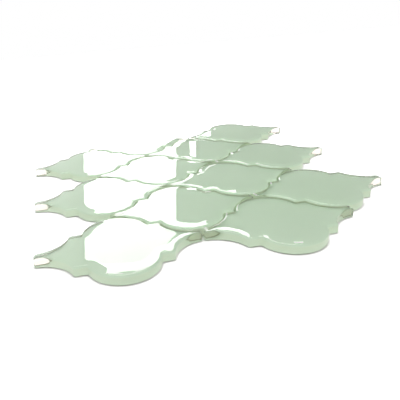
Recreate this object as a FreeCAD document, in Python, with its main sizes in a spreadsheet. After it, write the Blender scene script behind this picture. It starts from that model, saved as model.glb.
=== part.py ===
import FreeCAD, Part
import enum
import math
import os
import Sketcher

# A sheet of arabesque (lantern-shaped) glass tiles held by a thin net on their backs.
# Millimetres, +Z up, the sheet lying flat on z = 0 with its origin at the middle of the underside.
# Rows of tiles run along X; every second row sits half a tile further along, so the outlines interlock.

SIZES = (
    ("pitch_along", "125", "tile centre to tile centre along a row"),
    ("pitch_across", "100", "row to row between tiles that stand in line"),
    ("joint_width", "1.5", "open joint between neighbouring tiles"),
    ("tip_width", "7", "blunt end of a tile"),
    ("step_width", "9.4", "straight shoulder between the lobe and the neck of a tile"),
    ("glass_thickness", "8", "tile, back to face"),
    ("edge_round", "3", "rounded face edge of a tile"),
    ("net_thickness", "0.4", "net under the tiles"),
    ("net_inset", "13", "net stops this far short of the tips, along the row"),
    ("tiles_in_row", "2", "count"),
    ("row_pairs", "3", "count of pairs of rows, one in line and one half a tile along"),
)

# The line down the middle of a joint is an arc, a straight shoulder and the same arc turned half round,
# so each lobe fits the hollow of the tiles beside it. These follow from the sizes above.
DERIVED = (
    ("crown_height", "=pitch_across / 2 - (tip_width + joint_width) / 2"),
    ("step_reach", "=pitch_along / 4 - step_width / 2"),
    ("step_height", "=pitch_across / 4"),
    ("lobe_rise", "=crown_height - step_height"),
    ("lobe_radius", "=(step_reach ^ 2 + lobe_rise ^ 2) / (2 * lobe_rise)"),
    ("lobe_centre", "=crown_height - lobe_radius"),
    ("hollow_centre", "=pitch_across / 2 - lobe_centre"),
    ("half_joint", "=joint_width / 2"),
)

# The points of a line or an arc in a sketch, and the sketch's own origin.
Point = enum.IntEnum("Point", "START END CENTRE")
ORIGIN = (-1, Point.START)


def write_sheet(document):
    """Fills the table of sizes and returns it."""
    table = document.addObject("Spreadsheet::Sheet", "Dimensions")
    for row, (alias, text, note) in enumerate(SIZES, start=1):
        table.set("A%d" % row, note)
        table.set("B%d" % row, text)
        table.setAlias("B%d" % row, alias)
    for row, (alias, formula) in enumerate(DERIVED, start=len(SIZES) + 2):
        table.set("B%d" % row, formula)
        table.setAlias("B%d" % row, alias)
    document.recompute()
    return table


def flat_sketch(body, name):
    """Adds a sketch on the body's own XY plane and returns it."""
    sketch = body.newObject("Sketcher::SketchObject", name)
    plane = next(item for item in body.Origin.OriginFeatures if item.Role == "XY_Plane")
    sketch.AttachmentSupport = (plane, "")
    sketch.MapMode = "FlatFace"
    return sketch


def bind(sketch, sized):
    """Adds sized constraints and ties each to its expression.

    sized is a list of (kind, arguments, value, name, expression).
    """
    first = len(sketch.Constraints)
    sketch.addConstraint([Sketcher.Constraint(kind, *args, value) for kind, args, value, _, _ in sized])
    for index, (_, _, _, name, expression) in enumerate(sized, start=first):
        sketch.renameConstraint(index, name)
        sketch.setExpression("Constraints." + name, expression)


def arc(centre, radius, start, end):
    """Returns the arc about centre that runs counter-clockwise from start to end."""
    circle = Part.Circle(FreeCAD.Vector(*centre, 0), FreeCAD.Vector(0, 0, 1), radius)
    angles = [math.atan2(point[1] - centre[1], point[0] - centre[0]) for point in (start, end)]
    if angles[1] <= angles[0]:
        angles[1] += 2 * math.pi
    return Part.ArcOfCircle(circle, *angles)


def line(start, end):
    """Returns the straight segment from start to end."""
    return Part.LineSegment(FreeCAD.Vector(*start, 0), FreeCAD.Vector(*end, 0))


def from_origin(kind, geometry, position, sign):
    """Returns the kind and arguments of a distance from the sketch's origin, taken so that it is positive."""
    point = (geometry, position)
    return kind, (*ORIGIN, *point) if sign > 0 else (*point, *ORIGIN)


def draw_tile(sketch, table):
    """Draws one tile's outline: two lobes, four shoulders, four hollow necks and two blunt tips."""
    half_joint = table.get("half_joint")
    lobe_radius = table.get("lobe_radius") - half_joint
    hollow_radius = table.get("lobe_radius") + half_joint
    lobe_centre = table.get("lobe_centre")
    hollow = (table.get("pitch_along") / 2, table.get("hollow_centre"))
    shoulder = table.get("step_height") - half_joint
    tip = hollow[0] - half_joint
    inner = math.sqrt(lobe_radius ** 2 - (shoulder - lobe_centre) ** 2)
    outer = hollow[0] - math.sqrt(hollow_radius ** 2 - (hollow[1] - shoulder) ** 2)
    tip_half = hollow[1] - math.sqrt(hollow_radius ** 2 - half_joint ** 2)

    # counter-clockwise from the right tip; a hollow is drawn about its own centre, so it runs the other way
    sketch.addGeometry([
        line((tip, -tip_half), (tip, tip_half)),
        arc(hollow, hollow_radius, (outer, shoulder), (tip, tip_half)),
        line((outer, shoulder), (inner, shoulder)),
        arc((0, lobe_centre), lobe_radius, (inner, shoulder), (-inner, shoulder)),
        line((-inner, shoulder), (-outer, shoulder)),
        arc((-hollow[0], hollow[1]), hollow_radius, (-tip, tip_half), (-outer, shoulder)),
        line((-tip, tip_half), (-tip, -tip_half)),
        arc((-hollow[0], -hollow[1]), hollow_radius, (-outer, -shoulder), (-tip, -tip_half)),
        line((-outer, -shoulder), (-inner, -shoulder)),
        arc((0, -lobe_centre), lobe_radius, (-inner, -shoulder), (inner, -shoulder)),
        line((inner, -shoulder), (outer, -shoulder)),
        arc((hollow[0], -hollow[1]), hollow_radius, (tip, -tip_half), (outer, -shoulder)),
    ], False)
    hollows = (1, 5, 7, 11)
    forward = (Point.START, Point.END)
    ends = [forward[::-1] if index in hollows else forward for index in range(12)]
    joined = []
    for index in range(12):
        after = (index + 1) % 12
        joined.append(Sketcher.Constraint("Coincident", index, ends[index][1], after, ends[after][0]))
    for index in (2, 4, 8, 10):
        joined.append(Sketcher.Constraint("Horizontal", index))
    for index in (0, 6):
        joined.append(Sketcher.Constraint("Vertical", index))
    for index in (3, 9):
        joined.append(Sketcher.Constraint("Vertical", *ORIGIN, index, Point.CENTRE))
    sketch.addConstraint(joined)

    sized = []
    for index, sign in ((3, 1), (9, -1)):
        kind, args = from_origin("DistanceY", index, Point.CENTRE, sign)
        sized.append((kind, args, lobe_centre, "lobe_y_%d" % index, "Dimensions.lobe_centre"))
        sized.append(("Radius", (index,), lobe_radius, "lobe_r_%d" % index,
                      "Dimensions.lobe_radius - Dimensions.half_joint"))
    for index, x_sign, y_sign in ((1, 1, 1), (5, -1, 1), (7, -1, -1), (11, 1, -1)):
        kind, args = from_origin("DistanceX", index, Point.CENTRE, x_sign)
        sized.append((kind, args, hollow[0], "hollow_x_%d" % index, "Dimensions.pitch_along / 2"))
        kind, args = from_origin("DistanceY", index, Point.CENTRE, y_sign)
        sized.append((kind, args, hollow[1], "hollow_y_%d" % index, "Dimensions.hollow_centre"))
        sized.append(("Radius", (index,), hollow_radius, "hollow_r_%d" % index,
                      "Dimensions.lobe_radius + Dimensions.half_joint"))
    for index, sign in ((2, 1), (4, 1), (8, -1), (10, -1)):
        kind, args = from_origin("DistanceY", index, Point.START, sign)
        sized.append((kind, args, shoulder, "shoulder_%d" % index,
                      "Dimensions.step_height - Dimensions.half_joint"))
    for index, sign in ((0, 1), (6, -1)):
        kind, args = from_origin("DistanceX", index, Point.START, sign)
        sized.append((kind, args, tip, "tip_%d" % index,
                      "Dimensions.pitch_along / 2 - Dimensions.half_joint"))
    bind(sketch, sized)


def make_tile(document, table, label, along, across):
    """Builds one tile, its face edge rounded, with its centre at (along, across) in pitches."""
    body = document.addObject("PartDesign::Body", label)
    body.Label = label
    sketch = flat_sketch(body, label + "_outline")
    draw_tile(sketch, table)
    pad = body.newObject("PartDesign::Pad", label + "_slab")
    pad.Profile = sketch
    pad.setExpression("Length", "Dimensions.glass_thickness")
    body.setExpression("Placement.Base.x", "%s * Dimensions.pitch_along" % along)
    body.setExpression("Placement.Base.y", "%s * Dimensions.pitch_across" % across)
    body.setExpression("Placement.Base.z", "Dimensions.net_thickness")
    document.recompute()

    face = table.get("glass_thickness")
    names = []
    for index, edge in enumerate(pad.Shape.Edges, start=1):
        if all(abs(vertex.Z - face) < 1e-6 for vertex in edge.Vertexes):
            names.append("Edge%d" % index)
    rounding = body.newObject("PartDesign::Fillet", label + "_round")
    rounding.Base = (pad, names)
    rounding.setExpression("Radius", "Dimensions.edge_round")
    return body


def net_corners(columns, rows):
    """Returns the corners of the net's zigzag edge, counter-clockwise.

    Each is (along, across, along_inset, across_inset): its place on the grid of tips in pitches, counted
    from the front left tip, and which way it is drawn in from there.
    """
    last = (rows - 1) / 2
    corners = []
    for column in range(columns):
        corners.append((column + 0.5, -0.5, 0, 1))
        if column < columns - 1:
            corners.append((column + 1, 0, 0, 1))
    for row in range(1, rows, 2):
        corners.append((columns + 0.5, row / 2, -1, 0))
        if row < rows - 1:
            corners.append((columns, (row + 1) / 2, -1, 0))
    for column in reversed(range(columns)):
        corners.append((column + 1, last + 0.5, 0, -1))
        if column > 0:
            corners.append((column + 0.5, last, 0, -1))
    for row in reversed(range(0, rows, 2)):
        corners.append((0, row / 2, 1, 0))
        if row > 0:
            corners.append((0.5, (row - 1) / 2, 1, 0))
    return corners


def make_net(document, table, columns, rows, middle):
    """Builds the net as one thin sheet, cut in a zigzag that stays under the tiles."""
    body = document.addObject("PartDesign::Body", "backing_net")
    body.Label = "backing_net"
    sketch = flat_sketch(body, "backing_net_outline")
    pitch = (table.get("pitch_along"), table.get("pitch_across"))
    inset = (table.get("net_inset"), table.get("net_inset") * pitch[1] / pitch[0])
    inset_text = ("Dimensions.net_inset",
                  "Dimensions.net_inset * Dimensions.pitch_across / Dimensions.pitch_along")
    pitch_text = ("Dimensions.pitch_along", "Dimensions.pitch_across")

    points = []
    sized = []
    for index, corner in enumerate(net_corners(columns, rows)):
        point = []
        for axis, kind in enumerate(("DistanceX", "DistanceY")):
            steps = corner[axis] - middle[axis]
            drawn_in = corner[axis + 2]
            value = steps * pitch[axis] + drawn_in * inset[axis]
            sign = 1 if value >= 0 else -1
            text = "%s * %s + %s * %s" % (sign * steps, pitch_text[axis], sign * drawn_in, inset_text[axis])
            point.append(value)
            distance = from_origin(kind, index, Point.START, sign)
            sized.append((*distance, abs(value), "%s_%d" % (kind, index), text))
        points.append(tuple(point))
    count = len(points)
    sketch.addGeometry([line(points[index], points[(index + 1) % count]) for index in range(count)], False)
    sketch.addConstraint([
        Sketcher.Constraint("Coincident", index, Point.END, (index + 1) % count, Point.START)
        for index in range(count)
    ])
    bind(sketch, sized)
    pad = body.newObject("PartDesign::Pad", "backing_net_sheet")
    pad.Profile = sketch
    pad.setExpression("Length", "Dimensions.net_thickness")
    return body


def build():
    """Builds the sheet and writes each piece to its own file."""
    document = FreeCAD.newDocument("arabesque_tile_sheet")
    table = write_sheet(document)
    columns = int(table.get("tiles_in_row"))
    rows = 2 * int(table.get("row_pairs"))
    # the middle of the sheet, counted in pitches from the front left tip
    middle = ((columns + 0.5) / 2, (rows - 1) / 4)

    pieces = []
    for row in range(rows):
        for column in range(columns):
            along = column + 0.5 + 0.5 * (row % 2) - middle[0]
            across = row / 2 - middle[1]
            label = "row_%d_tile_%d" % (row + 1, column + 1)
            pieces.append(make_tile(document, table, label, along, across))
    pieces.append(make_net(document, table, columns, rows, middle))
    document.recompute()

    for item in document.Objects:
        if "Invalid" in item.State or "Error" in item.State:
            raise RuntimeError("%s: %s" % (item.Label, item.State))
    for piece in pieces:
        if piece.Shape.isNull() or not piece.Shape.isValid() or len(piece.Shape.Solids) != 1:
            raise RuntimeError("%s is not one valid solid" % piece.Label)
    os.makedirs("parts", exist_ok=True)
    for piece in pieces:
        piece.Shape.exportStep("parts/%s.step" % piece.Label)


build()
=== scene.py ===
"""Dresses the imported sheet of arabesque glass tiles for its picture.

Everything is in metres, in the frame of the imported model: +X along the rows, +Y towards the back row, +Z up.
"""

import logging
import math
from collections.abc import Callable
from dataclasses import dataclass
from enum import Enum
from typing import ClassVar

import bpy
from mathutils import Matrix, Vector


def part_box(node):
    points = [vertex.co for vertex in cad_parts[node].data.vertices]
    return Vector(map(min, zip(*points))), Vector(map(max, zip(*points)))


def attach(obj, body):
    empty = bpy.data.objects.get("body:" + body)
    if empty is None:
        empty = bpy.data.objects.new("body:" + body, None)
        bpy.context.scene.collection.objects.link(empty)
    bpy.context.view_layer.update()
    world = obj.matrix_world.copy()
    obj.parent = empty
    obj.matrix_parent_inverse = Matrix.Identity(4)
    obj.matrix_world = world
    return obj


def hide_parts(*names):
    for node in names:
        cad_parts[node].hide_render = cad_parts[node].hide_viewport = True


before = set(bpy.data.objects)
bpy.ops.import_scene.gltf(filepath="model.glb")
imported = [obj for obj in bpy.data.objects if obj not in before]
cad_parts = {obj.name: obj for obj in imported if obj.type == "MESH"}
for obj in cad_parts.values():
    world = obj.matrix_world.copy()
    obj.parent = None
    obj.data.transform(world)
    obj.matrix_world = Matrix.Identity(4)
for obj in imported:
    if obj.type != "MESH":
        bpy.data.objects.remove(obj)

MM = 0.001
IMAGE_WIDTH = 400
LOG = logging.getLogger("tile_sheet")


class Body(Enum):
    """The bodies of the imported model."""

    SHEET = "root"


class Slot(Enum):
    """The record's material slots."""

    TILE = "tile_glass"
    NET = "net_fibre"


class Side(Enum):
    """The four sides of a tile, with the way that each faces along X and Y."""

    FRONT_LEFT = (-1, -1)
    FRONT_RIGHT = (1, -1)
    BACK_LEFT = (-1, 1)
    BACK_RIGHT = (1, 1)


class Number:
    """A number worked out inside a node tree; arithmetic on it adds Math nodes."""

    def __init__(self, tree: bpy.types.NodeTree, source: bpy.types.NodeSocket) -> None:
        """Keeps the tree and the socket that gives the number."""
        self.tree = tree
        self.source = source

    def math(self, operation: str, *others: "Number | float") -> "Number":
        """Adds one Math node.

        Args:
            operation: Blender's name for the operation.
            others: the second and third operands.

        Returns:
            The node's result.
        """
        node = self.tree.nodes.new("ShaderNodeMath")
        node.operation = operation
        self.tree.links.new(self.source, node.inputs[0])
        for socket, other in zip(node.inputs[1:], others):
            if isinstance(other, Number):
                self.tree.links.new(other.source, socket)
            else:
                socket.default_value = other
        return Number(self.tree, node.outputs[0])

    def __add__(self, other: "Number | float") -> "Number":
        """Adds other."""
        return self.math("ADD", other)

    def __sub__(self, other: "Number | float") -> "Number":
        """Takes other away."""
        return self.math("SUBTRACT", other)

    def __mul__(self, other: "Number | float") -> "Number":
        """Multiplies by other."""
        return self.math("MULTIPLY", other)

    def __truediv__(self, other: "Number | float") -> "Number":
        """Divides by other."""
        return self.math("DIVIDE", other)

    def __neg__(self) -> "Number":
        """Turns the sign."""
        return self.math("MULTIPLY", -1.0)

    def sin(self) -> "Number":
        """The sine."""
        return self.math("SINE")

    def cos(self) -> "Number":
        """The cosine."""
        return self.math("COSINE")

    def root(self) -> "Number":
        """The square root, or 0 of a negative number."""
        return self.math("MAXIMUM", 0.0).math("SQRT")

    def angle(self, beside: "Number") -> "Number":
        """The angle whose tangent is this over beside."""
        return self.math("ARCTAN2", beside)

    def between(self, low: float, high: float) -> "Number":
        """How far this has come from low to high, kept within 0 and 1."""
        share = (self - low) / (high - low)
        return share.math("MAXIMUM", 0.0).math("MINIMUM", 1.0)


def in_use(sockets: bpy.types.bpy_prop_collection) -> bpy.types.NodeSocket:
    """The Value socket that a node's data type uses."""
    return next(socket for socket in sockets if socket.enabled and socket.name == "Value")


class GeometryTree:
    """A Geometry Nodes tree that a sub-class fills, with its named inputs."""

    def __init__(self, name: str, sizes: dict[str, float]) -> None:
        """Makes the empty tree.

        Args:
            name: the tree's name.
            sizes: a default for each named size.
        """
        self.tree = bpy.data.node_groups.new(name, "GeometryNodeTree")
        self.tree.interface.new_socket("Geometry", in_out="INPUT", socket_type="NodeSocketGeometry")
        self.tree.interface.new_socket("Geometry", in_out="OUTPUT", socket_type="NodeSocketGeometry")
        for size, value in sizes.items():
            socket = self.tree.interface.new_socket(size, in_out="INPUT", socket_type="NodeSocketFloat")
            socket.default_value = value
        socket = self.tree.interface.new_socket("place", in_out="INPUT", socket_type="NodeSocketVector")
        socket.default_value = (0, 0, 0)
        self.entry = self.tree.nodes.new("NodeGroupInput")
        self.exit = self.tree.nodes.new("NodeGroupOutput")

    def size(self, name: str) -> Number:
        """The named input."""
        return Number(self.tree, self.entry.outputs[name])

    def add(self, kind: str, **values: object) -> bpy.types.Node:
        """Adds a node.

        Args:
            kind: the node's type, without its GeometryNode prefix where it has one.
            values: socket names, with _ for a space, and what each takes: a socket, a Number or a value.

        Returns:
            The node.
        """
        known = hasattr(bpy.types, "GeometryNode" + kind)
        node = self.tree.nodes.new("GeometryNode" + kind if known else kind)
        for name, value in values.items():
            socket = node.inputs[name.replace("_", " ")]
            self.feed(socket, value)
        return node

    def feed(self, socket: bpy.types.NodeSocket, value: object) -> None:
        """Gives an input socket a link or a plain value.

        Args:
            socket: the input.
            value: a Number, an output socket or a value.
        """
        if isinstance(value, Number):
            self.tree.links.new(value.source, socket)
        elif isinstance(value, bpy.types.NodeSocket):
            self.tree.links.new(value, socket)
        else:
            socket.default_value = value

    def index(self) -> Number:
        """The number of each point."""
        return Number(self.tree, self.add("InputIndex").outputs[0])

    def position(self) -> bpy.types.NodeSocket:
        """The place of each point."""
        return self.add("InputPosition").outputs[0]

    def number(self, value: float) -> Number:
        """Adds a number that is the same everywhere.

        Args:
            value: the number.

        Returns:
            The number in the tree.
        """
        node = self.add("ShaderNodeValue")
        node.outputs[0].default_value = value
        return Number(self.tree, node.outputs[0])

    def vector(self, x: Number | float, y: Number | float, z: Number | float) -> bpy.types.NodeSocket:
        """Joins three numbers into a vector."""
        return self.add("ShaderNodeCombineXYZ", X=x, Y=y, Z=z).outputs[0]

    def split(self, vector: bpy.types.NodeSocket) -> list[Number]:
        """A vector's three numbers."""
        node = self.add("ShaderNodeSeparateXYZ", Vector=vector)
        return [Number(self.tree, output) for output in node.outputs]

    def vector_math(self, operation: str, *terms: object) -> bpy.types.NodeSocket:
        """Adds a Vector Math node.

        Args:
            operation: Blender's name for the operation.
            terms: the vectors it works on.

        Returns:
            The node's vector.
        """
        node = self.tree.nodes.new("ShaderNodeVectorMath")
        node.operation = operation
        for socket, term in zip(node.inputs, terms):
            self.feed(socket, term)
        return node.outputs[0]

    def scaled(self, vector: bpy.types.NodeSocket, factor: Number | float) -> bpy.types.NodeSocket:
        """Multiplies a vector by a number.

        Args:
            vector: the vector.
            factor: the number.

        Returns:
            The longer or shorter vector.
        """
        node = self.tree.nodes.new("ShaderNodeVectorMath")
        node.operation = "SCALE"
        self.feed(node.inputs[0], vector)
        self.feed(node.inputs["Scale"], factor)
        return node.outputs[0]

    def joined(self, parts: list[bpy.types.NodeSocket]) -> bpy.types.NodeSocket:
        """Joins geometry.

        Args:
            parts: what is joined.

        Returns:
            The whole.
        """
        node = self.add("JoinGeometry")
        for part in reversed(parts):
            self.tree.links.new(part, node.inputs[0])
        return node.outputs[0]

    def close(self, geometry: bpy.types.NodeSocket) -> None:
        """Moves the geometry to its place and ends the tree.

        Args:
            geometry: what the tree has made.
        """
        moved = self.add("Transform", Geometry=geometry, Translation=self.entry.outputs["place"])
        whole = self.add("RealizeInstances", Geometry=moved.outputs[0])
        self.tree.links.new(self.painted(whole.outputs[0]), self.exit.inputs[0])

    def painted(self, geometry: bpy.types.NodeSocket) -> bpy.types.NodeSocket:
        """Gives the geometry its materials; a sub-class says which."""
        raise NotImplementedError

    def grown(self, name: str, start: bpy.types.Mesh, **values: object) -> bpy.types.Object:
        """Runs the tree and keeps the result as a plain mesh.

        Args:
            name: the new object's name.
            start: the mesh that the tree is given.
            values: the inputs that differ from their defaults.

        Returns:
            The object, linked to the scene.
        """
        piece = bpy.data.objects.new(name, start)
        bpy.context.scene.collection.objects.link(piece)
        modifier = piece.modifiers.new("shape", "NODES")
        modifier.node_group = self.tree
        inputs = [item for item in self.tree.interface.items_tree if item.in_out == "INPUT"]
        known = {item.name: item.identifier for item in inputs}
        for key, value in values.items():
            modifier[known[key]] = value
        bpy.context.view_layer.update()
        evaluated = piece.evaluated_get(bpy.context.evaluated_depsgraph_get())
        mesh = bpy.data.meshes.new_from_object(evaluated)
        piece.modifiers.remove(modifier)
        piece.data = mesh
        mesh.name = name
        bpy.data.meshes.remove(start)
        return piece


def new_material(name: str) -> tuple[bpy.types.Material, bpy.types.NodeTree, bpy.types.Node]:
    """Makes a material with one Principled shader.

    Args:
        name: the material's name.

    Returns:
        The material, its node tree and its shader.
    """
    material = bpy.data.materials.new(name)
    material.use_nodes = True
    nodes = material.node_tree
    return material, nodes, nodes.nodes["Principled BSDF"]


def mixed(nodes: bpy.types.NodeTree, share: bpy.types.NodeSocket, first: tuple[float, float, float],
          second: tuple[float, float, float]) -> bpy.types.NodeSocket:
    """Adds nodes that mix two colours.

    Args:
        nodes: the tree to add them to.
        share: a socket with the share of the second colour.
        first: the colour at a share of 0.
        second: the colour at a share of 1.

    Returns:
        A socket with the colour.
    """
    shade = nodes.nodes.new("ShaderNodeMix")
    shade.data_type = "RGBA"
    for socket in shade.inputs:
        if socket.type == "RGBA":
            colour = first if socket.name == "A" else second
            socket.default_value = (*colour, 1)
    nodes.links.new(share, shade.inputs[0])
    return next(socket for socket in shade.outputs if socket.type == "RGBA")


def ramp(nodes: bpy.types.NodeTree, value: bpy.types.NodeSocket, start: float, end: float, low: float,
         high: float) -> bpy.types.NodeSocket:
    """Adds a node that runs from one level to another, and is level beyond both ends.

    Args:
        nodes: the tree to add it to.
        value: a socket with what the ramp follows.
        start: where the ramp starts.
        end: where it ends.
        low: its level at the start.
        high: its level at the end.

    Returns:
        A socket with the level.
    """
    node = nodes.nodes.new("ShaderNodeMapRange")
    limits = {"From Min": start, "From Max": end, "To Min": low, "To Max": high}
    for name, limit in limits.items():
        node.inputs[name].default_value = limit
    nodes.links.new(value, node.inputs["Value"])
    return node.outputs[0]


def grain(nodes: bpy.types.NodeTree, size: float, detail: float) -> bpy.types.NodeSocket:
    """Adds nodes for a noise that is fixed to the object.

    Args:
        nodes: the tree to add them to.
        size: the size of its patches.
        detail: how many finer layers it has.

    Returns:
        A socket with the noise.
    """
    place = nodes.nodes.new("ShaderNodeTexCoord")
    noise = nodes.nodes.new("ShaderNodeTexNoise")
    noise.inputs["Scale"].default_value = 1 / size
    noise.inputs["Detail"].default_value = detail
    nodes.links.new(place.outputs["Object"], noise.inputs["Vector"])
    return noise.outputs[0]


def raised(nodes: bpy.types.NodeTree, shader: bpy.types.Node, relief: bpy.types.NodeSocket,
           height: float) -> None:
    """Gives a shader a fine relief.

    Args:
        nodes: the tree to add it to.
        shader: the shader.
        relief: a socket with the relief, as a share of its height.
        height: its height.
    """
    bump = nodes.nodes.new("ShaderNodeBump")
    bump.inputs["Distance"].default_value = height
    nodes.links.new(relief, bump.inputs["Height"])
    nodes.links.new(bump.outputs[0], shader.inputs["Normal"])


@dataclass(frozen=True)
class ClearGlass:
    """Cast glass: a polished face with a faint wave, duller tinted sides, and a green cast in depth."""

    depth_colour: tuple[float, float, float] = (0.80, 0.72, 0.45)
    depth_density: float = 8.0
    index: float = 1.5
    face_roughness: float = 0.0
    side_roughness: float = 0.15
    side_tint: tuple[float, float, float] = (1.0, 0.955, 0.905)
    side_rise: float = 0.2
    wave_length: float = 22 * MM
    wave_height: float = 0.02 * MM
    wave_detail: float = 1.0

    def material(self) -> bpy.types.Material:
        """Makes the material.

        Returns:
            The glass of the face and the sides.
        """
        material, nodes, shader = new_material("clear_glass")
        side = self.upright(nodes)
        dull = ramp(nodes, side, 0.0, 1.0, self.face_roughness, self.side_roughness)
        nodes.links.new(dull, shader.inputs["Roughness"])
        nodes.links.new(mixed(nodes, side, (1, 1, 1), self.side_tint), shader.inputs["Base Color"])
        shader.inputs["IOR"].default_value = self.index
        shader.inputs["Transmission Weight"].default_value = 1
        depth = nodes.nodes.new("ShaderNodeVolumeAbsorption")
        depth.inputs["Color"].default_value = (*self.depth_colour, 1)
        depth.inputs["Density"].default_value = self.depth_density
        nodes.links.new(depth.outputs[0], nodes.nodes["Material Output"].inputs["Volume"])
        raised(nodes, shader, grain(nodes, self.wave_length, self.wave_detail), self.wave_height)
        return material

    def upright(self, nodes: bpy.types.NodeTree) -> bpy.types.NodeSocket:
        """Adds nodes that tell the upright sides from the face.

        Args:
            nodes: the tree to add them to.

        Returns:
            A socket of 1 on the sides and 0 on the face.
        """
        slope = nodes.nodes.new("ShaderNodeSeparateXYZ")
        nodes.links.new(nodes.nodes.new("ShaderNodeNewGeometry").outputs["True Normal"], slope.inputs[0])
        flat = Number(nodes, slope.outputs["Z"]).math("ABSOLUTE")
        return ramp(nodes, flat.source, 0.0, self.side_rise, 1.0, 0.0)


@dataclass(frozen=True)
class BackColour:
    """Colour fired on the glass, as it stands the pale sage green of the back."""

    name: str = "back_colour"
    pale: tuple[float, float, float] = (0.735, 0.90, 0.75)
    deep: tuple[float, float, float] = (0.70, 0.875, 0.715)
    cloud: float = 30 * MM
    cloud_detail: float = 3.0
    roughness: float = 0.6
    gloss: float = 0.2

    def material(self) -> bpy.types.Material:
        """Makes the material.

        Returns:
            The colour, a little cloudy.
        """
        material, nodes, shader = new_material(self.name)
        shader.inputs["Roughness"].default_value = self.roughness
        shader.inputs["Specular IOR Level"].default_value = self.gloss
        clouds = grain(nodes, self.cloud, self.cloud_detail)
        nodes.links.new(mixed(nodes, clouds, self.deep, self.pale), shader.inputs["Base Color"])
        return material


@dataclass(frozen=True)
class NetFibre:
    """Matt off-white threads: fine strands under an uneven coat."""

    pale: tuple[float, float, float] = (0.84, 0.84, 0.80)
    deep: tuple[float, float, float] = (0.68, 0.68, 0.62)
    strand: float = 0.3 * MM
    strand_height: float = 0.04 * MM
    strand_detail: float = 4.0
    roughness: float = 0.75

    def material(self) -> bpy.types.Material:
        """Makes the material.

        Returns:
            The fibre of the threads.
        """
        material, nodes, shader = new_material("net_fibre")
        shader.inputs["Roughness"].default_value = self.roughness
        strands = grain(nodes, self.strand, self.strand_detail)
        nodes.links.new(mixed(nodes, strands, self.deep, self.pale), shader.inputs["Base Color"])
        raised(nodes, shader, strands, self.strand_height)
        return material


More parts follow.
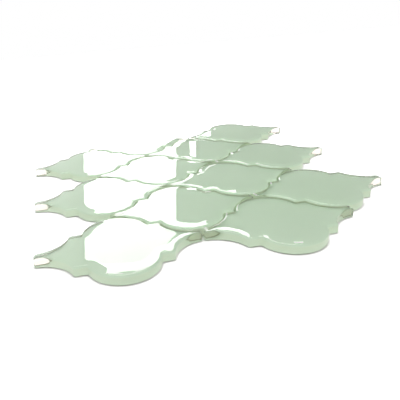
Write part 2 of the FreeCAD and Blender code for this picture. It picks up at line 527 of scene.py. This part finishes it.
class TileTree(GeometryTree):
    """The tree of one arabesque tile: a quarter of its outline, lofted and mirrored."""

    # Steps along a quarter of the outline: the end of a tip, the neck, the shoulder and the lobe.
    END, NECK, STEP, LOBE = 8, 32, 16, 30
    # Rows of points over the dome and round the edge.
    DOME_ROWS, EDGE_ROWS = 12, 9
    # Points each way that a corner's rounding takes in, and how often it is done on the rim and the flat.
    CORNER, RIM_SOFT, FLAT_SOFT = 7, 12, 60
    # How often the dome's rows are evened out, and the share of its drop where that ends.
    EVENING, EDGE_SHARE = 300, 0.7
    # The inner ring of the flat, as a share of the flat.
    CAP = 0.97
    # How far up a face of the back and a face of a side look, at most.
    BACK, SIDE = -0.9, 0.1
    # Points nearer than this are joined, and edges sharper than this stay sharp.
    MERGE, SHARP = 0.002 * MM, math.radians(40)

    def __init__(self, sizes: dict[str, float], glass: bpy.types.Material, back: bpy.types.Material,
                 dark_arris: bpy.types.Material, film: bpy.types.Material) -> None:
        """Builds the tree.

        Args:
            sizes: a default for each size, in metres.
            glass: the material of the tile.
            back: the material of its back.
            dark_arris: a dark olive material on the arris round the edge of the back.
            film: the material of the sides that face a joint.
        """
        super().__init__("arabesque_tile", sizes | {side.name: 1.0 for side in Side})
        self.glass = glass
        self.back = back
        self.dark_arris = dark_arris
        self.film = film
        stretches = (self.END, self.NECK, self.STEP, self.LOBE)
        self.stops = [sum(stretches[:count]) for count in range(len(stretches) + 1)]
        self.points = self.stops[-1] + 1
        none, whole = self.number(0.0), self.number(1.0)
        lines = (self.outline(none, self.RIM_SOFT), self.outline(self.size("dome_reach"), self.FLAT_SOFT))
        height, fall = self.size("thickness"), self.size("dome_drop")
        edge, arris = self.size("edge_round"), self.size("arris")
        edge_share, arris_share = edge / self.size("dome_reach"), arris / self.size("dome_reach")

        def dome(row: Number) -> Number:
            """How far from the flat to the rim a row of the dome is, as a share."""
            return (whole - edge_share) * (row / float(self.DOME_ROWS - 1))

        def turn(row: Number) -> Number:
            """The angle round the rounded edge at a row."""
            return row * (math.pi / 2 / (self.EDGE_ROWS - 1))

        def edge_in(row: Number) -> Number:
            """How far from the rim to the flat a row of the rounded edge is, as a share."""
            return edge_share * (whole - turn(row).sin())

        def domed(share: Number) -> Number:
            """The dome's height at a share of the way from the flat to the rim."""
            return height - fall * share * share

        # The flat in two rings, the dome, the rounded edge, the side, the arris and the back.
        parts = [
            self.strip(lines, 2, lambda row: whole, lambda row: height, lambda row: row * self.CAP),
            self.strip(lines, 2, lambda row: whole, lambda row: height,
                       lambda row: row * (1 - self.CAP) + self.CAP),
            self.strip(lines, self.DOME_ROWS, lambda row: whole - dome(row), lambda row: domed(dome(row))),
            self.strip(lines, self.EDGE_ROWS, edge_in,
                       lambda row: domed(whole - edge_in(row)) - edge * (whole - turn(row).cos())),
            self.strip(lines, 2, lambda row: none,
                       lambda row: (height - fall - edge) * (whole - row) + arris * row),
            self.strip(lines, 2, lambda row: arris_share * row, lambda row: arris * (whole - row)),
            self.strip(lines, 2, lambda row: arris_share, lambda row: none, lambda row: whole - row),
        ]
        quarter = self.add("FlipFaces", Mesh=self.merged(self.joined(parts))).outputs[0]
        half = self.mirrored(quarter, (1, -1, 1))
        self.close(self.smoothed(self.evened(self.mirrored(half, (-1, 1, 1)))))

    def outline(self, inset: Number, softness: int) -> bpy.types.NodeSocket:
        """Draws a quarter of the outline from a tip to a crown, drawn in by inset.

        Args:
            inset: how far inside the tile's own outline.
            softness: how many times its corners are rounded.

        Returns:
            A line of points.
        """
        along, across = self.size("pitch_along"), self.size("pitch_across")
        joint, tip, step = self.size("joint"), self.size("tip_width"), self.size("step_width")
        crown = across / 2 - (tip + joint) / 2
        reach = along / 4 - step / 2
        shoulder = across / 4
        rise = crown - shoulder
        radius = (reach * reach + rise * rise) / (rise * 2)
        lobe_y = crown - radius
        hollow_y = across / 2 - lobe_y
        away = joint / 2 + inset
        lobe_r, hollow_r = radius - away, radius + away
        step_y = shoulder - away
        inner = (lobe_r * lobe_r - (step_y - lobe_y) * (step_y - lobe_y)).root()
        outer = (hollow_r * hollow_r - (hollow_y - step_y) * (hollow_y - step_y)).root()
        tip_back = (hollow_r * hollow_r - hollow_y * hollow_y).root().math("MAXIMUM", away)
        tip_half = (hollow_y - (hollow_r * hollow_r - away * away).root()).math("MAXIMUM", 0.0)

        # Each point's share of each stretch; the points lie closer where stretches meet.
        point = self.index()
        end, neck, flat, lobe = (point.between(*pair) for pair in zip(self.stops, self.stops[1:]))
        end = end * (-end + 2.0)
        neck, flat, lobe = (share * share * (share * -2.0 + 3.0) for share in (neck, flat, lobe))
        neck_from, neck_to = tip_back.angle(hollow_y - tip_half), outer.angle(hollow_y - step_y)
        neck_at = neck_from + (neck_to - neck_from) * neck
        lobe_from = inner.angle(step_y - lobe_y)
        lobe_at = lobe_from - lobe_from * lobe
        x = (along / 2 - tip_back + hollow_r * (neck_from.sin() - neck_at.sin())
             + (inner - along / 2 + outer) * flat + lobe_r * (lobe_at.sin() - lobe_from.sin()))
        y = (tip_half * end + hollow_r * (neck_from.cos() - neck_at.cos())
             + lobe_r * (lobe_at.cos() - lobe_from.cos()))

        line = self.add("MeshLine", Count=self.points)
        placed = self.add("SetPosition", Geometry=line.outputs[0], Position=self.vector(x, y, 0.0))
        return self.softened(placed.outputs[0], softness)

    def softened(self, line: bpy.types.NodeSocket, times: int) -> bpy.types.NodeSocket:
        """Rounds the corners of a line of points a little at a time, and leaves its arcs.

        Args:
            line: the line of points.
            times: how often.

        Returns:
            The softer line.
        """
        near = self.number(0.0)
        for corner in self.stops[1:-1]:
            away = (self.index() - float(corner)).math("ABSOLUTE")
            near = near.math("MAXIMUM", away.math("LESS_THAN", self.CORNER + 1.0))
        spot = self.blurred(self.position(), times, near)
        return self.add("SetPosition", Geometry=line, Position=spot).outputs[0]

    def blurred(self, vector: bpy.types.NodeSocket, times: int, weight: Number) -> bpy.types.NodeSocket:
        """Evens out a vector with the points beside each point.

        Args:
            vector: the vector.
            times: how often.
            weight: 1 where it is evened out, and 0 elsewhere.

        Returns:
            The evened vector.
        """
        blur = self.tree.nodes.new("GeometryNodeBlurAttribute")
        blur.data_type = "FLOAT_VECTOR"
        self.feed(in_use(blur.inputs), vector)
        self.feed(blur.inputs["Iterations"], times)
        self.feed(blur.inputs["Weight"], weight)
        return in_use(blur.outputs)

    def sampled(self, line: bpy.types.NodeSocket, number: Number) -> bpy.types.NodeSocket:
        """Looks up the place of a point of a line.

        Args:
            line: the line of points.
            number: the point's number.

        Returns:
            The place.
        """
        node = self.tree.nodes.new("GeometryNodeSampleIndex")
        node.data_type = "FLOAT_VECTOR"
        node.domain = "POINT"
        self.feed(node.inputs["Geometry"], line)
        self.feed(in_use(node.inputs), self.position())
        self.feed(node.inputs["Index"], number)
        return in_use(node.outputs)

    def strip(self, lines: tuple[bpy.types.NodeSocket, bpy.types.NodeSocket], rows: int,
              blend: Callable[[Number], Number], height: Callable[[Number], Number],
              spread: Callable[[Number], Number] | None = None) -> bpy.types.NodeSocket:
        """Lofts a strip between two lines of points.

        Args:
            lines: the tile's own outline and the edge of the flat of its face.
            rows: rows of points across the strip.
            blend: gives each row's place from the outline, 0, to the flat, 1.
            height: gives each row's height.
            spread: gives each row's scale about the middle, where that isn't 1.

        Returns:
            The strip.
        """
        grid = self.add("MeshGrid", Vertices_X=self.points, Vertices_Y=rows)
        number = self.index()
        column = (number / rows).math("FLOOR")
        row = number - column * rows
        share = blend(row)
        rim, flat = (self.sampled(line, column) for line in lines)
        place = self.vector_math("ADD", self.scaled(rim, -share + 1.0), self.scaled(flat, share))
        if spread:
            place = self.scaled(place, spread(row))
        x, y, _ = self.split(place)
        spot = self.vector(x, y, height(row))
        return self.add("SetPosition", Geometry=grid.outputs[0], Position=spot).outputs[0]

    def merged(self, geometry: bpy.types.NodeSocket) -> bpy.types.NodeSocket:
        """Joins points that meet."""
        return self.add("MergeByDistance", Geometry=geometry, Distance=self.MERGE).outputs[0]

    def mirrored(self, geometry: bpy.types.NodeSocket, scale: tuple[int, int, int]) -> bpy.types.NodeSocket:
        """Joins geometry with its mirror image.

        Args:
            geometry: the geometry.
            scale: -1 along the axis that is turned round, and 1 along the others.

        Returns:
            Both halves.
        """
        turned = self.add("Transform", Geometry=geometry, Scale=scale)
        flipped = self.add("FlipFaces", Mesh=turned.outputs[0])
        return self.merged(self.joined([geometry, flipped.outputs[0]]))

    def evened(self, geometry: bpy.types.NodeSocket) -> bpy.types.NodeSocket:
        """Evens out the plan of the dome's rows between the rounded edge and the flat.

        Args:
            geometry: the tile.

        Returns:
            The tile with its heights as they were.
        """
        place = self.position()
        drop = self.size("thickness") - self.split(place)[2]
        below = drop.math("GREATER_THAN", self.MERGE / 2)
        above = (drop / self.size("dome_drop")).math("LESS_THAN", self.EDGE_SHARE)
        x, y, _ = self.split(self.blurred(place, self.EVENING, below * above))
        spot = self.vector(x, y, self.size("thickness") - drop)
        return self.add("SetPosition", Geometry=geometry, Position=spot).outputs[0]

    def smoothed(self, geometry: bpy.types.NodeSocket) -> bpy.types.NodeSocket:
        """Shades the faces smooth, up to a sharp angle, and the back flat.

        Args:
            geometry: the tile.

        Returns:
            The shaded tile.
        """
        round_face = self.rise().math("GREATER_THAN", self.BACK)
        faces = self.add("SetShadeSmooth", Geometry=geometry, Shade_Smooth=round_face)
        edges = self.tree.nodes.new("GeometryNodeSetShadeSmooth")
        edges.domain = "EDGE"
        angle = Number(self.tree, self.add("InputMeshEdgeAngle").outputs[0])
        self.feed(edges.inputs["Geometry"], faces.outputs[0])
        self.feed(edges.inputs["Selection"], angle.math("GREATER_THAN", self.SHARP))
        self.feed(edges.inputs["Shade Smooth"], False)
        return edges.outputs[0]

    def painted(self, geometry: bpy.types.NodeSocket) -> bpy.types.NodeSocket:
        """Gives the glass, the sides in joints, the dark arris round the back and the back their materials.

        Args:
            geometry: the tile.

        Returns:
            The painted tile.
        """
        rise = self.rise()
        geometry = self.add("SetMaterial", Geometry=geometry, Material=self.glass).outputs[0]
        choices = (
            (rise.math("LESS_THAN", self.SIDE) * self.jointed(), self.film),
            (rise.math("LESS_THAN", -self.SIDE), self.dark_arris),
            (rise.math("LESS_THAN", self.BACK), self.back),
        )
        for chosen, material in choices:
            dressed = self.add("SetMaterial", Geometry=geometry, Selection=chosen, Material=material)
            geometry = dressed.outputs[0]
        return geometry

    def rise(self) -> Number:
        """How far a face looks up: 1 up, 0 level and -1 down."""
        return self.split(self.add("InputNormal").outputs[0])[2]

    def jointed(self) -> Number:
        """Tells the sides that face a joint from the others.

        Returns:
            1 on a side that faces a joint, and 0 elsewhere and near the ends of the tips.
        """
        x, y, _ = self.split(self.vector_math("SUBTRACT", self.position(), self.entry.outputs["place"]))
        total = self.number(0.0)
        for side in Side:
            faced = self.size(side.name)
            for ahead, way in zip((x, y), side.value):
                faced = faced * (ahead * float(way)).math("GREATER_THAN", 0.0)
            total = total + faced
        tip = (self.size("pitch_along") - self.size("joint")) / 2 - self.size("tip_clear")
        return total * x.math("ABSOLUTE").math("LESS_THAN", tip)


class NetTree(GeometryTree):
    """The tree of the backing net: threads both ways over an outline, woven over and under."""

    # Spare steps past each end of a thread.
    MARGIN = 4

    def __init__(self, sizes: dict[str, float], fibre: bpy.types.Material) -> None:
        """Builds the tree.

        Args:
            sizes: a default for each size, in metres.
            fibre: the material of the threads.
        """
        super().__init__("backing_net", sizes)
        self.fibre = fibre
        box = self.add("BoundBox", Geometry=self.entry.outputs[0])
        low, high = (self.split(box.outputs[name]) for name in ("Min", "Max"))
        reach = [high[axis].math("MAXIMUM", -low[axis]) for axis in (0, 1)]
        self.close(self.joined([self.threads(reach, along) for along in (True, False)]))

    def line(self, reach: Number, spacing: Number, along: bool) -> bpy.types.NodeSocket:
        """A row of points through the middle.

        Args:
            reach: how far the row runs each way, at least.
            spacing: from point to point.
            along: along X, or else along Y.

        Returns:
            The row, with a whole number of steps each way.
        """
        steps = (reach / spacing).math("CEIL") + float(self.MARGIN)
        start = -(steps * spacing)
        count = steps * 2.0 + 1.0
        ends = (self.vector(start, 0.0, 0.0), self.vector(spacing, 0.0, 0.0))
        if not along:
            ends = (self.vector(0.0, start, 0.0), self.vector(0.0, spacing, 0.0))
        return self.add("MeshLine", Count=count, Start_Location=ends[0], Offset=ends[1]).outputs[0]

    def threads(self, reach: list[Number], along: bool) -> bpy.types.NodeSocket:
        """Makes the threads that run one way.

        Args:
            reach: half the net's size along X and Y.
            along: along X, or else along Y.

        Returns:
            The threads' mesh.
        """
        pitch = self.size("pitch")
        run, across = (reach[0], reach[1]) if along else (reach[1], reach[0])
        one = self.line(run, pitch / 2, along)
        starts = self.line(across, pitch, not along)
        laid = self.add("InstanceOnPoints", Points=starts, Instance=one)
        lines = self.add("RealizeInstances", Geometry=laid.outputs[0]).outputs[0]
        outside = self.inside().math("LESS_THAN", 1.0)
        kept = self.add("DeleteGeometry", Geometry=lines, Selection=outside).outputs[0]
        x, y, _ = self.split(self.position())
        turn = pitch.math("DIVIDE", math.pi)
        weave = (x / turn).cos() * (y / turn).cos() * self.size("weave") * (1.0 if along else -1.0)
        woven = self.add("SetPosition", Geometry=kept, Position=self.vector(x, y, weave)).outputs[0]
        curve = self.add("MeshToCurve", Mesh=woven).outputs[0]
        level = self.tree.nodes.new("GeometryNodeSetCurveNormal")
        level.mode = "Z_UP"
        self.feed(level.inputs["Curve"], curve)
        section = self.add("CurvePrimitiveQuadrilateral", Width=self.size("width"), Height=self.size("depth"))
        tube = self.add("CurveToMesh", Curve=level.outputs[0], Profile_Curve=section.outputs[0])
        self.feed(tube.inputs["Fill Caps"], True)
        return tube.outputs[0]

    def inside(self) -> Number:
        """Tells the points over the outline that the tree is given from the others.

        Returns:
            1 at a point over the outline, and 0 elsewhere.
        """
        above = self.vector_math("ADD", self.position(), (0, 0, 1))
        ray = self.tree.nodes.new("GeometryNodeRaycast")
        self.feed(ray.inputs["Target Geometry"], self.entry.outputs[0])
        self.feed(ray.inputs["Source Position"], above)
        self.feed(ray.inputs["Ray Direction"], (0, 0, -1))
        return Number(self.tree, ray.outputs["Is Hit"])

    def painted(self, geometry: bpy.types.NodeSocket) -> bpy.types.NodeSocket:
        """Gives the threads their material."""
        return self.add("SetMaterial", Geometry=geometry, Material=self.fibre).outputs[0]


def middle(node: str) -> Vector:
    """The middle of a node's box, at the height of its underside."""
    low, high = (Vector(corner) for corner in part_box(node))
    return Vector(((low.x + high.x) / 2, (low.y + high.y) / 2, low.z))


@dataclass
class TileSheet:
    """The glass tiles, each in place of its CAD node."""

    rows: int = 6
    columns: int = 2
    step_width: float = 9.4 * MM
    dome_reach: float = 8.5 * MM
    dome_drop: float = 0.75 * MM
    edge_round: float = 1.5 * MM
    arris: float = 0.3 * MM
    tip_clear: float = 1.5 * MM
    glass: ClearGlass = ClearGlass()
    back: BackColour = BackColour()
    film: BackColour = BackColour(name="joint_film", pale=(0.86, 0.98, 0.80), deep=(0.80, 0.92, 0.74))
    # A dark olive colour on the arris round the bottom of each tile, a thin dark line along the foot of every
    # side.
    dark_arris: BackColour = BackColour(name="dark_arris", pale=(0.36, 0.38, 0.20), deep=(0.29, 0.31, 0.16))

    def sizes(self) -> dict[str, float]:
        """Reads the tile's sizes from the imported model.

        Returns:
            Each named size of the tile tree.
        """
        first, beside, behind = (middle(name) for name in ("row_1_tile_1", "row_1_tile_2", "row_3_tile_1"))
        low, high = (Vector(corner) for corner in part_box("row_1_tile_1"))
        pitch_along = beside.x - first.x
        pitch_across = behind.y - first.y
        joint = pitch_along - (high.x - low.x)
        return {
            "pitch_along": pitch_along,
            "pitch_across": pitch_across,
            "joint": joint,
            "tip_width": pitch_across - (high.y - low.y) - 2 * joint,
            "step_width": self.step_width,
            "thickness": high.z - low.z,
            "dome_reach": self.dome_reach,
            "dome_drop": self.dome_drop,
            "edge_round": self.edge_round,
            "arris": self.arris,
            "tip_clear": self.tip_clear,
        }

    def build(self) -> list[bpy.types.Object]:
        """Makes the tiles.

        Returns:
            One piece for each tile.
        """
        finishes = (self.glass, self.back, self.dark_arris, self.film)
        sizes = self.sizes()
        tree = TileTree(sizes, *(finish.material() for finish in finishes))
        spots = self.spots()
        pieces = []
        for node, spot in spots.items():
            start = bpy.data.meshes.new("start")
            faced = self.faced(spot, list(spots.values()), sizes)
            piece = tree.grown("glass_" + node, start, place=tuple(spot), **faced)
            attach(piece, Body.SHEET.value)
            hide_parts(node)
            pieces.append(piece)
        return pieces

    def faced(self, spot: Vector, spots: list[Vector], sizes: dict[str, float]) -> dict[str, float]:
        """Finds which sides of a tile face another tile across a joint.

        Args:
            spot: the tile's place.
            spots: every tile's place.
            sizes: the tile's sizes.

        Returns:
            1 or 0 for each side, by the side's name.
        """
        found = {}
        for side in Side:
            way_x, way_y = side.value
            beside = spot + Vector((way_x * sizes["pitch_along"] / 2, way_y * sizes["pitch_across"] / 2, 0))
            found[side.name] = float(any((other - beside).length < sizes["joint"] for other in spots))
        return found

    def spots(self) -> dict[str, Vector]:
        """Finds the tiles' places.

        Returns:
            The place of each tile's node, row by row from the front.
        """
        found = {}
        for row in range(1, self.rows + 1):
            for column in range(1, self.columns + 1):
                node = f"row_{row}_tile_{column}"
                found[node] = middle(node)
        return found


@dataclass
class BackingNet:
    """The net of glass-fibre threads under the tiles."""

    sheet: TileSheet
    node: str = "backing_net"
    pitch: float = 5 * MM
    width: float = 0.8 * MM
    depth: float = 0.16 * MM
    weave: float = 0.08 * MM
    fibre: NetFibre = NetFibre()

    def corners(self) -> list[tuple[float, float]]:
        """Works out the zigzag edge of the net from the tiles' pitches.

        Returns:
            The corners, counter-clockwise.
        """
        sizes = self.sheet.sizes()
        along, across = sizes["pitch_along"], sizes["pitch_across"]
        columns, rows = self.sheet.columns, self.sheet.rows
        half_x, half_y = (columns + 0.5) / 2 * along, (rows - 1) / 4 * across
        inset_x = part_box(self.node)[0][0] + half_x
        inset_y = inset_x * across / along
        front = []
        for column in range(columns):
            front.append(((column + 0.5) * along - half_x, inset_y - across / 2 - half_y))
            if column < columns - 1:
                front.append(((column + 1) * along - half_x, inset_y - half_y))
        right = []
        for row in range(1, rows, 2):
            right.append((half_x - inset_x, row / 2 * across - half_y))
            if row < rows - 1:
                right.append((half_x - along / 2 - inset_x, (row + 1) / 2 * across - half_y))
        ahead = front + right
        return ahead + [(-x, -y) for x, y in ahead]

    def build(self) -> bpy.types.Object:
        """Makes the net.

        Returns:
            Its piece.
        """
        corners = self.corners()
        outline = bpy.data.meshes.new("outline")
        outline.from_pydata([(x, y, 0) for x, y in corners], [], [tuple(range(len(corners)))])
        sizes = {"pitch": self.pitch, "width": self.width, "depth": self.depth, "weave": self.weave}
        tree = NetTree(sizes, self.fibre.material())
        low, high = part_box(self.node)
        piece = tree.grown("net_threads", outline, place=(0, 0, (low[2] + high[2]) / 2))
        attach(piece, Body.SHEET.value)
        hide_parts(self.node)
        return piece


def heading(azimuth: float, elevation: float) -> Vector:
    """Works out a way to look.

    Args:
        azimuth: from +Y towards +X, in radians.
        elevation: above level, in radians.

    Returns:
        A vector of length 1.
    """
    level = math.cos(elevation)
    return Vector((math.sin(azimuth) * level, math.cos(azimuth) * level, math.sin(elevation)))


@dataclass
class View:
    """The camera, where the photograph was taken from."""

    target: tuple[float, float, float] = (-54.84 * MM, -56.08 * MM, 8.4 * MM)
    distance: float = 408.65 * MM
    azimuth: float = -10.92
    elevation: float = 22.75
    roll: float = -3.92
    focal_px: float = 469.0
    centre_px: float = 151.5
    sensor: float = 36.0
    near: float = 10 * MM

    def place(self) -> None:
        """Makes the camera and gives it to the scene."""
        azimuth, elevation, roll = map(math.radians, (self.azimuth, self.elevation, self.roll))
        back = heading(azimuth, elevation)
        back.y = -back.y
        level = Vector((math.cos(azimuth), math.sin(azimuth), 0))
        rise = back.cross(level)
        right = level * math.cos(roll) + rise * math.sin(roll)
        up = rise * math.cos(roll) - level * math.sin(roll)
        lens = bpy.data.cameras.new("camera")
        lens.sensor_fit = "HORIZONTAL"
        lens.sensor_width = self.sensor
        lens.lens = self.focal_px / IMAGE_WIDTH * self.sensor
        lens.shift_x = (IMAGE_WIDTH / 2 - self.centre_px) / IMAGE_WIDTH
        lens.clip_start = self.near
        camera = bpy.data.objects.new("camera", lens)
        turn = Matrix((right, up, back)).transposed().to_4x4()
        camera.matrix_world = Matrix.Translation(Vector(self.target) + back * self.distance) @ turn
        bpy.context.scene.collection.objects.link(camera)
        bpy.context.scene.camera = camera


@dataclass
class Panel:
    """A soft lamp: an even rectangle of light, turned towards the origin."""

    name: str
    azimuth: float
    elevation: float
    distance: float
    width: float
    height: float
    radiance: float
    roll: float = 0.0

    def place(self) -> None:
        """Hangs the lamp."""
        away = heading(math.radians(self.azimuth), math.radians(self.elevation))
        lamp = bpy.data.lights.new(self.name, "AREA")
        lamp.shape = "RECTANGLE"
        lamp.size = self.width
        lamp.size_y = self.height
        lamp.energy = self.radiance * math.pi * self.width * self.height
        holder = bpy.data.objects.new(self.name, lamp)
        turn = away.to_track_quat("Z", "Y").to_matrix().to_4x4()
        spin = Matrix.Rotation(math.radians(self.roll), 4, "Z")
        holder.matrix_world = Matrix.Translation(away * self.distance) @ turn @ spin
        bpy.context.scene.collection.objects.link(holder)


@dataclass
class Studio:
    """A plain white floor and soft light."""

    # Besides camera rays, the rays that show the room and the floor; the rest only light.
    SHOWING: ClassVar[tuple[str, ...]] = ("Is Glossy Ray", "Is Transmission Ray")
    reach: float = 3.0
    ambient: float = 0.40
    # The room's levels, and where they begin or end along X or, for the haze and the foot, along Z.
    bright: float = 1.0
    bright_side: float = -0.08
    dim: float = 0.22
    dim_side: float = 0.45
    dim_foot: float = 0.12
    haze: float = 0.40
    haze_foot: float = 0.18
    haze_top: float = 0.34
    # The floor's colour and glow, the share of the glow that the glass shows, and the reach of contact shade.
    floor_colour: tuple[float, float, float] = (0.90, 0.90, 0.89)
    floor_glow: float = 0.50
    glass_share: float = 0.4
    contact: float = 3 * MM
    # Each lamp's name, azimuth and elevation in degrees, distance, width, height and radiance.
    panels: tuple[Panel, ...] = (
        Panel("back_panel", 6.9, 19.5, 2.5, 0.58, 1.20, 4.8, roll=-5.0),
        Panel("slim_panel", 16.6, 16.8, 2.5, 0.035, 0.12, 9.0),
        Panel("end_panel", 18.0, 13.9, 2.5, 0.105, 0.085, 7.0),
        Panel("high_panel", 10.0, 38.9, 2.3, 0.84, 0.52, 7.5),
        Panel("small_panel", 35.5, 40.8, 2.3, 0.13, 0.04, 4.5),
        Panel("top_panel", 0.0, 80.0, 1.6, 1.2, 1.2, 3.5),
    )

    def seen(self, nodes: bpy.types.NodeTree, *names: str) -> Number:
        """Adds nodes that tell some rays from the rest.

        Args:
            nodes: the tree to add them to.
            names: the kinds of ray, as the Light Path node names them.

        Returns:
            1 for camera rays and for rays of these kinds, and 0 for the rest.
        """
        path = nodes.nodes.new("ShaderNodeLightPath")
        total = Number(nodes, path.outputs["Is Camera Ray"])
        for name in names:
            total = total.math("MAXIMUM", Number(nodes, path.outputs[name]))
        return total

    def build(self) -> None:
        """Makes the floor, the world and the lamps."""
        for panel in self.panels:
            panel.place()
        world = bpy.data.worlds.new("white_room")
        world.use_nodes = True
        bpy.context.scene.world = world
        nodes = world.node_tree
        sky = nodes.nodes["Background"]
        level = nodes.nodes.new("ShaderNodeMapRange")
        level.inputs["To Min"].default_value = self.ambient
        shown = self.seen(nodes, *self.SHOWING)
        nodes.links.new(shown.source, level.inputs["Value"])
        nodes.links.new(self.room(nodes), level.inputs["To Max"])
        nodes.links.new(level.outputs[0], sky.inputs["Strength"])
        sky.inputs["Color"].default_value = (1, 1, 1, 1)
        self.lay_floor()

    def room(self, nodes: bpy.types.NodeTree) -> bpy.types.NodeSocket:
        """Adds nodes for the room: white to the camera, and shaded to mirrored and refracted rays.

        To these it has a bright side and a dim one, a haze low down and a dim foot.

        Args:
            nodes: the tree to add them to.

        Returns:
            A socket with the room's level.
        """
        towards = nodes.nodes.new("ShaderNodeSeparateXYZ")
        nodes.links.new(nodes.nodes.new("ShaderNodeTexCoord").outputs["Generated"], towards.inputs[0])
        ramps = (
            ("X", self.bright_side, self.dim_side, self.bright, self.dim),
            ("Z", self.haze_foot, self.haze_top, self.haze, 0.0),
            ("Z", 0.0, self.dim_foot, self.dim, self.bright),
        )
        side, haze, foot = (Number(nodes, ramp(nodes, towards.outputs[axis], *limits))
                            for axis, *limits in ramps)
        shade = side.math("MAXIMUM", haze).math("MINIMUM", foot)
        return self.seen(nodes).math("MAXIMUM", shade).source

    def lay_floor(self) -> None:
        """Lays the floor, which shows the sheet's shadow on white."""
        half = self.reach / 2
        mesh = bpy.data.meshes.new("floor")
        corners = [(-half, -half, 0), (half, -half, 0), (half, half, 0), (-half, half, 0)]
        mesh.from_pydata(corners, [], [tuple(range(len(corners)))])
        floor = bpy.data.objects.new("floor", mesh)
        bpy.context.scene.collection.objects.link(floor)
        material, nodes, shader = new_material("white_floor")
        shader.inputs["Base Color"].default_value = (*self.floor_colour, 1)
        shader.inputs["Roughness"].default_value = 1
        shader.inputs["Specular IOR Level"].default_value = 0
        clear = nodes.nodes.new("ShaderNodeAmbientOcclusion")
        clear.inputs["Distance"].default_value = self.contact
        clear.inputs["Color"].default_value = (self.floor_glow,) * 3 + (1,)
        nodes.links.new(clear.outputs["Color"], shader.inputs["Emission Color"])
        shown = self.seen(nodes, *self.SHOWING)
        glow = self.seen(nodes) * (1 - self.glass_share) + shown * self.glass_share
        nodes.links.new(glow.source, shader.inputs["Emission Strength"])
        mesh.materials.append(material)


def main() -> None:
    """Builds the scene; the CAD nodes stay, hidden, beside the pieces that take their place."""
    logging.basicConfig(level=logging.INFO, format="%(message)s")
    scene = bpy.context.scene
    scene.view_settings.view_transform = "Standard"
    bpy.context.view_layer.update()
    Studio().build()
    View().place()
    sheet = TileSheet()
    for piece in [*sheet.build(), BackingNet(sheet).build()]:
        LOG.info("%s: %d faces", piece.name, len(piece.data.polygons))


if __name__ == "__main__":
    main()
